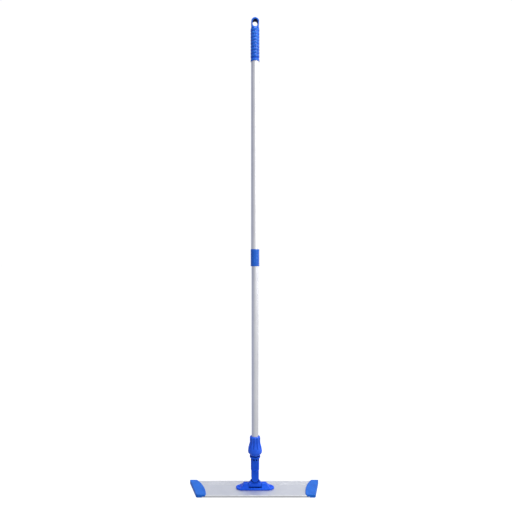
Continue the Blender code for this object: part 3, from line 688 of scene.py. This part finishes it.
def swivelFork():
    look = forkLook
    low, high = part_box("swivel_fork")
    ring, core, column, neck = high.x, look["core"], look["column"], look["neck"]
    foot, floor = swingZ + look["slotTop"], swingZ + look["floor"]
    profile = [(0, floor), (look["socket"], floor), (look["socket"], high.z), (core, high.z)]
    for thread in range(5):
        top = high.z - (3 + 5 * thread) * mm
        profile += [(core, top), (core + 0.8 * mm, top - 1.0 * mm), (core + 0.8 * mm, top - 1.5 * mm)]
        profile += [(core, top - 2.5 * mm)]
    profile += [(core, look["neckTop"]), (neck, look["neckTop"] - mm), (neck, look["ringTop"])]
    profile += [(ring - 0.8 * mm, look["ringTop"]), (ring, look["ringTop"] - 0.8 * mm)]
    profile += [(ring, look["ringFoot"] + 0.6 * mm), (ring - 0.6 * mm, look["ringFoot"])]
    profile += [(column + 0.6 * mm, look["columnTop"] + 0.6 * mm), (column, look["columnTop"] - 0.4 * mm)]
    profile += [(column, foot + 7.0 * mm), (column - 0.5 * mm, foot + 5.4 * mm)]
    profile += [(column - 1.1 * mm, foot + 3 * mm), (column - 1.5 * mm, foot + 0.8 * mm)]
    profile += [(column - 2.4 * mm, foot), (0, foot)]
    fork = turned("swivelFork", profile)

    root = foot + 6 * mm
    radius = look["prongRadius"]
    outline = [(radius, root), (-radius, root)] + arcPoints((0, swingZ), radius, 180, 360, 36)
    prongs = slab("prongs", outline, "Y", -look["prongOut"], look["prongOut"])
    soften(prongs, 1.3 * mm, 3, 60)
    carve(prongs, box("slot", (-30 * mm, -look["prongIn"], 0), (30 * mm, look["prongIn"], foot + mm)))
    carve(prongs, rod("pinHole", "Y", look["pin"], -8.8 * mm, 30 * mm, (0, 0, swingZ)))
    weldOn(fork, prongs)

    # shallow pockets under the ring leave short ribs between them
    middle = (look["columnTop"] - 4.6 * mm + look["ringFoot"] - 1.6 * mm) / 2
    for pocket in range(look["ribs"]):
        turn = 2 * pi * pocket / look["ribs"]
        reach = column - look["pocketDeep"] + 4 * mm
        pickNothing()
        bpy.ops.mesh.primitive_cube_add(
            size=1, location=(reach * cos(turn), reach * sin(turn), middle), rotation=(0, 0, turn),
            scale=(8 * mm, look["pocket"], 6 * mm),
        )
        pocketTool = bpy.context.object
        bpy.ops.object.transform_apply(location=True, rotation=True, scale=True)
        soften(pocketTool, 0.6 * mm, 2)
        carve(fork, pocketTool)
    for side in (-1, 1):
        near, far = sorted((side * look["panel"], side * 2 * look["panel"]))
        panel = box("panel", (-look["panelHalf"], near, foot + 7 * mm), (look["panelHalf"], far, 93.5 * mm))
        soften(panel, 1.6 * mm, 4)
        carve(fork, panel)
    soften(fork, 0.3 * mm, 2, 35)
    finishPiece(fork, "fork", blueJoint, "blue_plastic", "swivel_fork", smooth=32)

    # painted shade: the thread above the ring and the pockets under it get the near-black painted-shade blue,
    # standing in for the dark gap under the nut and the shadow in the pockets
    def shadedThreadOrPocket(middle, normal):
        if middle.xy.length < look["socket"] + 0.15 * mm:
            return False
        onThread = look["ringTop"] - 0.1 * mm < middle.z < high.z - mm and middle.xy.length < ring - 1.6 * mm
        inPocket = 96 * mm < middle.z < 104 * mm and middle.xy.length < column - 0.5 * mm
        return onThread or inPocket
    paintFaces(fork, paintedShadeBlue, shadedThreadOrPocket)
    return fork


crossLook = {
    "tongueHalf": 4.6 * mm, "tongueRadius": 11.3 * mm, "shoulder": 18 * mm, "tiltHole": 2.8 * mm,
    "swingHole": 3.3 * mm, "relief": 15.4 * mm, "web": 2.2 * mm, "boss": 8.5 * mm, "underY": 7.0 * mm,
    "underZ": 14.6 * mm, "underX": 15 * mm,
}


def crossBlock():
    look = crossLook
    low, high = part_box("cross_block")
    radius = high.y
    barrel = rod("crossBlock", "X", radius, low.x, high.x, (0, 0, tiltZ), 96)
    soften(barrel, 0.6 * mm, 3)
    shoulder, across = tiltZ + radius, look["shoulder"]
    outline = arcPoints((0, swingZ), look["tongueRadius"], 200, -20, 36)
    outline += [(across, shoulder), (across, tiltZ + 4 * mm), (-across, tiltZ + 4 * mm), (-across, shoulder)]
    tongue = slab("tongue", outline, "Y", -look["tongueHalf"], look["tongueHalf"])
    soften(tongue, 0.7 * mm, 2, 50)
    half, web = look["tongueHalf"], look["web"]
    for side in (-1, 1):
        # the web round the boss is thinner, so that the prongs turn clear of it
        near, far = sorted((side * web, side * (half + mm)))
        relief = rod("relief", "Y", look["relief"], near, far, (0, 0, swingZ), 72)
        carve(relief, box("keep", (-20 * mm, near - mm, 0), (20 * mm, far + mm, tiltZ + radius)))
        carve(tongue, relief)
        near, far = sorted((side * (web - mm), side * half))
        boss = rod("boss", "Y", look["boss"], near, far, (0, 0, swingZ), 64)
        soften(boss, 0.4 * mm, 2)
        weldOn(tongue, boss)
        near, far = sorted((side * look["underY"], side * 2 * look["underY"]))
        carve(barrel, box("undercut", (-look["underX"], near, 0), (look["underX"], far, look["underZ"])))
    weldOn(barrel, tongue)
    carve(barrel, rod("tiltHole", "X", look["tiltHole"], -40 * mm, 40 * mm, (0, 0, tiltZ)))
    carve(barrel, rod("swingHole", "Y", look["swingHole"], -20 * mm, 20 * mm, (0, 0, swingZ)))
    mend(barrel)
    finishPiece(barrel, "cross", blueJoint, "blue_plastic", "cross_block", smooth=32)

    # painted shade: the relief round the swing boss and the undercut below the barrel get the near-black
    # painted-shade blue, standing in for the shadow beside the prongs and under the barrel
    def shadedHiddenFace(middle, normal):
        reach, aside = (middle.xz - Vector((0, swingZ))).length, abs(middle.y)
        inRelief = reach < look["relief"] + 0.1 * mm and aside < half - 0.3 * mm and middle.z > 26.4 * mm
        underneath = middle.z < look["underZ"] + 0.1 * mm and aside < look["underY"] + 0.1 * mm
        return inRelief or (underneath and abs(middle.x) < look["underX"] + 0.1 * mm)
    paintFaces(barrel, paintedShadeBlue, shadedHiddenFace)
    return barrel


bracketLook = {
    "tip": 14.5 * mm, "flangeTop": 12 * mm, "lugIn": 20.2 * mm, "lugTop": 34 * mm, "lugFoot": 43 * mm,
    "lugFootY": 15.5 * mm, "lipIn": 12.8 * mm, "lipOut": 16 * mm, "lipTop": 13.8 * mm, "pinHole": 2.8 * mm,
    "pinEnd": 30.5 * mm, "dimple": 4 * mm, "dimpleX": 50 * mm,
}


def baseBracket():
    look = bracketLook
    low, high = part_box("base_bracket")
    half, tip, top = high.x - look["tip"], look["tip"], look["flangeTop"]
    plan = arcPoints((half, 0), tip, 60, -60, 20) + [(half - mm, low.y), (mm - half, low.y)]
    plan += arcPoints((-half, 0), tip, 240, 120, 20) + [(mm - half, high.y), (half - mm, high.y)]
    bracket = slab("baseBracket", plan, "Z", low.z, top)
    soften(bracket, 1.4 * mm, 4, 50)
    crown = high.z - tiltZ
    root = low.z + mm
    foot = look["lugFootY"]
    shape = [(foot, root), (foot, top)] + arcPoints((0, tiltZ), crown, 12, 168, 14)
    shape += [(-foot, top), (-foot, root)]
    lean = look["lugFoot"] - look["lugTop"]
    for side in (-1, 1):
        lug = slab("lug", shape, "X", side * look["lugIn"], side * (look["lugFoot"] + 4 * mm))
        sliceOff(lug, (side * look["lugTop"], 0, high.z), (side * (high.z - top), 0, lean))
        soften(lug, 1.0 * mm, 3, 25)
        near, far = sorted((side * look["lipIn"], side * look["lipOut"]))
        reach = look["lugIn"] + 2.5 * mm
        lip = box("lip", (-reach, near, root), (reach, far, look["lipTop"]))
        soften(lip, 0.6 * mm, 3)
        weldOn(bracket, lug, lip)
    inner, wide = look["lugIn"], look["lipIn"]
    carve(bracket, box("well", (-inner, -wide, 0), (inner, wide, 20 * mm)))
    carve(bracket, rod("pinHole", "X", look["pinHole"], -look["pinEnd"], 60 * mm, (0, 0, tiltZ)))
    for side in (-1, 1):
        spot = (side * look["dimpleX"], 0, 0)
        carve(bracket, rod("dimple", "Z", look["dimple"], top - 0.8 * mm, top + 4 * mm, spot))
    soften(bracket, 0.3 * mm, 2, 40)
    mend(bracket)
    finishPiece(bracket, "frame", blueJoint, "blue_plastic", "base_bracket", smooth=32)

    # painted shade: the well between the lugs, below the lip's top, gets the near-black painted-shade blue,
    # standing in for the shadow in the slot
    def shadedWell(middle, normal):
        inPlan = abs(middle.x) < inner and abs(middle.y) < wide + 0.1 * mm
        return inPlan and middle.z < look["lipTop"] - 0.7 * mm
    paintFaces(bracket, paintedShadeBlue, shadedWell)
    return bracket


def pin(name, node, body, axis, centre):
    low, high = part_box(node)
    along = "XYZ".index(axis)
    radius = (high[2] - low[2]) / 2
    piece = rod(name, axis, radius, low[along], high[along], centre)
    soften(piece, 0.5 * mm, 3)
    return finishPiece(piece, body, pinSteel, "steel", node)


print("swivel joint")
swivelFork()
crossBlock()
baseBracket()
pin("tiltPin", "tilt_pin", "frame", "X", (0, 0, tiltZ))
pin("swingPin", "swing_pin", "fork", "Y", (0, 0, swingZ))


# frame

plateLook = {
    "skinTop": 7 * mm, "skinFoot": 5.2 * mm, "wall": 2 * mm, "rail": 2.6 * mm, "ribs": (-15 * mm, 15 * mm),
    "grooves": (36 * mm, 32 * mm, 27 * mm, 22 * mm), "groove": 0.35 * mm, "band": 17 * mm,
    "backHalf": 209 * mm, "frontHalf": 182 * mm,
}
sinkLook = {"shank": 1.8 * mm, "head": 3.3 * mm}


def edgeX(y, depth):
    share = (y + depth) / (2 * depth)
    return plateLook["frontHalf"] + (plateLook["backHalf"] - plateLook["frontHalf"]) * share


def screwSpots():
    spots = {}
    for node in frame["nodes"]:
        if "_screw_" in node:
            low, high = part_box(node)
            spots[node] = ((low.x + high.x) / 2, (low.y + high.y) / 2)
    return spots


def basePlate():
    look = plateLook
    low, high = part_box("base_plate")
    depth, top, foot, wall = high.y, look["skinTop"], look["skinFoot"], look["wall"]
    rail = depth - look["rail"]
    outline = [(depth, low.z), (depth, high.z - 0.5 * mm), (depth - 0.5 * mm, high.z)]
    outline += [(rail + 0.4 * mm, high.z), (rail, high.z - 0.15 * mm)]
    outline += [(rail - 1.6 * mm, top + 0.35 * mm), (rail - 3.0 * mm, top)]
    for y in look["grooves"]:
        outline += [(y + 0.6 * mm, top), (y + 0.2 * mm, top - look["groove"])]
        outline += [(y - 0.2 * mm, top - look["groove"]), (y - 0.6 * mm, top)]
    outline += arcPoints((-depth + 1.2 * mm, top - 1.2 * mm), 1.2 * mm, 90, 180, 6)
    outline += [(-depth, low.z), (wall - depth, low.z), (wall - depth, foot)]
    for y in look["ribs"]:
        half = wall / 2
        outline += [(y - half, foot), (y - half, low.z), (y + half, low.z), (y + half, foot)]
    outline += [(depth - wall, foot), (depth - wall, low.z)]
    plate = slab("basePlate", outline, "X", -look["backHalf"], look["backHalf"])
    for side in (-1, 1):
        normal = (side * 2 * depth, look["frontHalf"] - look["backHalf"], 0)
        sliceOff(plate, (side * (edgeX(0, depth) - look["band"]), 0, 0), normal)
    front = capLook["frontLip"] + capLook["clear"]
    lipFoot = capLook["lipFoot"] - capLook["clear"]
    for side in (-1, 1):
        near, far = sorted((side * (capLook["end"][0] + 2.4 * mm), side * look["backHalf"]))
        carve(plate, box("lipRoom", (near, -60 * mm, lipFoot), (far, front, 20 * mm)))
    shank, head = sinkLook["shank"], sinkLook["head"]
    for x, y in screwSpots().values():
        profile = [(0, top + mm), (shank, top + mm), (shank, top - 0.25 * mm), (head, foot + 0.25 * mm)]
        sink = turned("sink", profile + [(head, foot - mm), (0, foot - mm)], 32)
        pickOnly(sink)
        bpy.ops.transform.translate(value=(x, y, 0))
        carve(plate, sink)
    soften(plate, 0.15 * mm, 2, 40)
    finishPiece(plate, "frame", plateAluminium, "aluminium", "base_plate", smooth=30)

    # painted shade: the back rail and the groove floors get the darker rail aluminium
    def shadedRailOrGroove(middle, normal):
        onRail = middle.y > rail - 3.1 * mm and middle.z > top + 0.02 * mm
        return onRail or (20 * mm < middle.y < 38 * mm and top - mm < middle.z < top - 0.02 * mm)
    paintFaces(plate, railShadedAluminium, shadedRailOrGroove)
    return plate


capLook = {
    "corner": 3 * mm, "clear": 0.3 * mm, "radius": 162 * mm, "start": 185 * mm, "end": (153 * mm, -38 * mm),
    "front": 10 * mm, "back": 12.2 * mm, "overlap": 6 * mm, "pocket": 5.5 * mm, "round": 2.2 * mm,
    "frontLip": -45.9 * mm, "lipFoot": 3.6 * mm, "pockets": 5, "pocketWall": 1.8 * mm, "pocketEnd": 2.5 * mm,
    "pocketEdge": 2.2 * mm, "keepIn": 0.02 * mm,
}


def capCurve(depth):
    start, end = Vector((capLook["start"], depth)), Vector(capLook["end"])
    middle, chord = (start + end) / 2, end - start
    rise = sqrt(capLook["radius"] ** 2 - (chord.length / 2) ** 2)
    centre = middle + Vector((-chord.y, chord.x)).normalized() * rise
    first = atan2(start.y - centre.y, start.x - centre.x)
    last = atan2(end.y - centre.y, end.x - centre.x)
    sweep = (last - first + pi) % (2 * pi) - pi
    return arcPoints(centre, capLook["radius"], first * 180 / pi, (first + sweep) * 180 / pi, 28)


def endCap():
    look = capLook
    low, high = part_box("end_cap_right")
    depth, corner, band = high.y, look["corner"], plateLook["band"] - look["clear"]
    plateTop = plateLook["skinTop"]
    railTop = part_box("base_plate")[1].z
    sideY = depth - corner
    plan = [(edgeX(depth, depth) - corner, depth), (edgeX(depth, depth) - 1.2 * mm, depth - 0.8 * mm)]
    plan += [(min(edgeX(sideY, depth), high.x - look["keepIn"]), sideY), (edgeX(-sideY, depth), -sideY)]
    plan += [(edgeX(-depth, depth) - 1.0 * mm, 0.9 * mm - depth), (edgeX(-depth, depth) - corner, -depth)]
    plan += [(edgeX(-depth, depth) - band, -depth), (edgeX(depth, depth) - band, depth)]
    cap = slab("endCapRight", plan, "Z", low.z, 20 * mm)

    nose = look["end"][0]
    flat = capCurve(depth) + [(nose, -40.5 * mm), (nose + 0.4 * mm, -44 * mm), (nose + 1.4 * mm, -46.4 * mm)]
    flat += [(nose + 3.2 * mm, -depth), (edgeX(-depth, depth) - look["overlap"], -depth)]
    flat += [(edgeX(depth, depth) - look["overlap"], depth)]
    flange = slab("flange", flat, "Z", plateTop + look["clear"], 19 * mm)
    railY = depth - plateLook["rail"] - 3.2 * mm - look["clear"]
    carve(flange, box("railRoom", (-0.3, railY, 0), (0.3, 0.1, railTop + look["clear"])))
    lip = box("frontLip", (nose + 2.9 * mm, -depth, look["lipFoot"]),
              (edgeX(-depth, depth) - band + mm, look["frontLip"], plateTop + mm))
    soften(lip, 0.3 * mm, 2)
    weldOn(flange, lip)
    weldOn(cap, flange)
    slope = (look["back"] - look["front"]) / (2 * depth)
    sliceOff(cap, (0, 0, (look["back"] + look["front"]) / 2), (0, -slope, 1))
    pickOnly(cap)
    bpy.ops.object.mode_set(mode="EDIT")
    bpy.ops.mesh.select_mode(type="EDGE")
    cage = bmesh.from_edit_mesh(cap.data)
    for edge in cage.edges:
        onTop = all(v.co.z > 0.95 * (look["front"] + slope * (v.co.y + depth)) for v in edge.verts)
        edge.select = onTop and len(edge.link_faces) == 2 and edge.calc_face_angle() > 0.7
    bmesh.update_edit_mesh(cap.data)
    bpy.ops.mesh.bevel(offset=look["round"], segments=5, affect="EDGES", clamp_overlap=True)
    bpy.ops.object.mode_set(mode="OBJECT")
    soften(cap, 0.4 * mm, 2, 50)

    # the band is cored out below, with ribs left between the pockets
    count, wall, end = look["pockets"], look["pocketWall"], look["pocketEnd"]
    inner, outer = plateLook["band"] - look["pocketEdge"], look["pocketEdge"]
    length = (2 * depth - 2 * end - (count - 1) * wall) / count
    for pocket in range(count):
        y0 = -depth + end + pocket * (length + wall)
        y1 = y0 + length
        shape = [(edgeX(y0, depth) - outer, y0), (edgeX(y1, depth) - outer, y1)]
        shape += [(edgeX(y1, depth) - inner, y1), (edgeX(y0, depth) - inner, y0)]
        hollow = slab("pocket", shape, "Z", -5 * mm, look["pocket"])
        soften(hollow, 0.6 * mm, 2, 40)
        carve(cap, hollow)
    pickOnly(cap)
    bpy.ops.object.duplicate()
    twin = bpy.context.object
    twin.name = twin.data.name = "endCapLeft"
    bpy.ops.object.mode_set(mode="EDIT")
    bpy.ops.mesh.select_all(action="SELECT")
    bpy.ops.transform.mirror(constraint_axis=(True, False, False), center_override=(0, 0, 0))
    bpy.ops.mesh.normals_make_consistent(inside=False)
    bpy.ops.object.mode_set(mode="OBJECT")
    finishPiece(twin, "frame", blueCapWithTopLight, "blue_plastic", "end_cap_left", smooth=32)
    finishPiece(cap, "frame", blueCapWithTopLight, "blue_plastic", "end_cap_right", smooth=32)


stripLook = {
    "pile": 1.5 * mm, "pitch": 2.4 * mm, "stem": 0.34 * mm, "backing": 1.0 * mm, "margin": 2 * mm,
    # each length of a hook: sideways, down, and how much thinner it gets
    "bends": ((0, -0.75, 0.9), (0.2, -0.5, 0.9), (0.45, -0.2, 0.85), (0.35, 0.15, 0.7)),
}


def hookStrip(name, node):
    # a stiff backing with rows of small bent hooks below it
    look = stripLook
    low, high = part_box(node)
    middle = (low.y + high.y) / 2
    tape = low.z + look["pile"]
    half = (high.y - low.y) / 2
    backing = half - look["backing"]
    shape = [(half, tape), (half, tape + 0.5 * mm), (backing, tape + 0.7 * mm), (backing, high.z)]
    shape = [(middle + u, v) for u, v in shape] + [(middle - u, v) for u, v in reversed(shape)]
    strip = slab(name, shape, "X", low.x, high.x)
    soften(strip, 0.15 * mm, 1, 40)

    pitch, stem = look["pitch"], look["stem"]
    columns = int((high.x - low.x - look["margin"]) / pitch)
    rows = int((2 * half - look["margin"]) / pitch)
    startX = low.x + ((high.x - low.x) - (columns - 1) * pitch) / 2 - 0.3 * mm
    startY = middle - (rows - 1) * pitch / 2
    pickNothing()
    place = (startX, startY, tape + 0.1 * mm)
    bpy.ops.mesh.primitive_circle_add(vertices=5, radius=stem, location=place, fill_type="NGON")
    hooks = bpy.context.object
    bpy.ops.object.transform_apply(location=True, rotation=True, scale=True)
    bpy.ops.object.mode_set(mode="EDIT")
    bpy.ops.mesh.select_all(action="SELECT")
    for slide, drop, shrink in look["bends"]:
        bpy.ops.mesh.extrude_region_move(TRANSFORM_OT_translate={"value": (slide * mm, 0, drop * mm)})
        bpy.ops.transform.resize(value=(shrink, shrink, shrink))
    bpy.ops.mesh.select_all(action="SELECT")
    bpy.ops.mesh.normals_make_consistent(inside=False)
    bpy.ops.object.mode_set(mode="OBJECT")
    for count, step in ((columns, (pitch, 0, 0)), (rows, (0, pitch, 0))):
        applyModifier(hooks, "ARRAY", count=count, use_relative_offset=False, use_constant_offset=True,
                      constant_offset_displace=step)
    pickOnly(strip)
    hooks.select_set(True)
    bpy.ops.object.join()
    return finishPiece(strip, "frame", darkHooks, "hook_tape", node, smooth=40)


screwLook = {"shank": 1.5 * mm, "crossLong": 2.0 * mm, "crossWide": 0.34 * mm, "crossDeep": 1.1 * mm}


def screwHead(name, node, spot):
    # countersunk screw with a cross recess, seen from below
    look = screwLook
    low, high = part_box(node)
    shank, head, top = look["shank"], high.x - spot[0], plateLook["skinTop"]
    profile = [(0, low.z), (head - 0.25 * mm, low.z), (head, low.z + 0.25 * mm), (shank, top - 0.35 * mm)]
    profile += [(shank, high.z - 1.2 * mm), (0.4 * mm, high.z), (0, high.z)]
    piece = turned(name, profile, 40)
    arms = (look["crossLong"], look["crossWide"])
    for wide, tall in (arms, arms[::-1]):
        carve(piece, box("recess", (-wide, -tall, low.z - mm), (wide, tall, low.z + look["crossDeep"])))
    pickOnly(piece)
    bpy.ops.transform.translate(value=(spot[0], spot[1], 0))
    bpy.ops.object.transform_apply(location=True, rotation=True, scale=True)
    return finishPiece(piece, "frame", pinSteel, "steel", node, smooth=30)


print("frame")
basePlate()
endCap()
for place in ("front", "middle", "back"):
    hookStrip("hookStrip" + place.title(), "hook_strip_" + place)
for node, spot in screwSpots().items():
    screwHead(node + "_shown", node, spot)


# CAD pieces that keep their shape

print("inner pieces")
keptFinish = {
    "clamp_collet": greyNylon, "tube_end_plug": greyNylon, "lock_plug": greyNylon, "lock_expander": greyNylon,
    "lock_pin": pinSteel, "lock_screw": pinSteel,
}
for node, finish in keptFinish.items():
    mesh = frame["nodes"][node].data
    mesh.materials.clear()
    mesh.materials.append(finish)


pickNothing()
print("done")
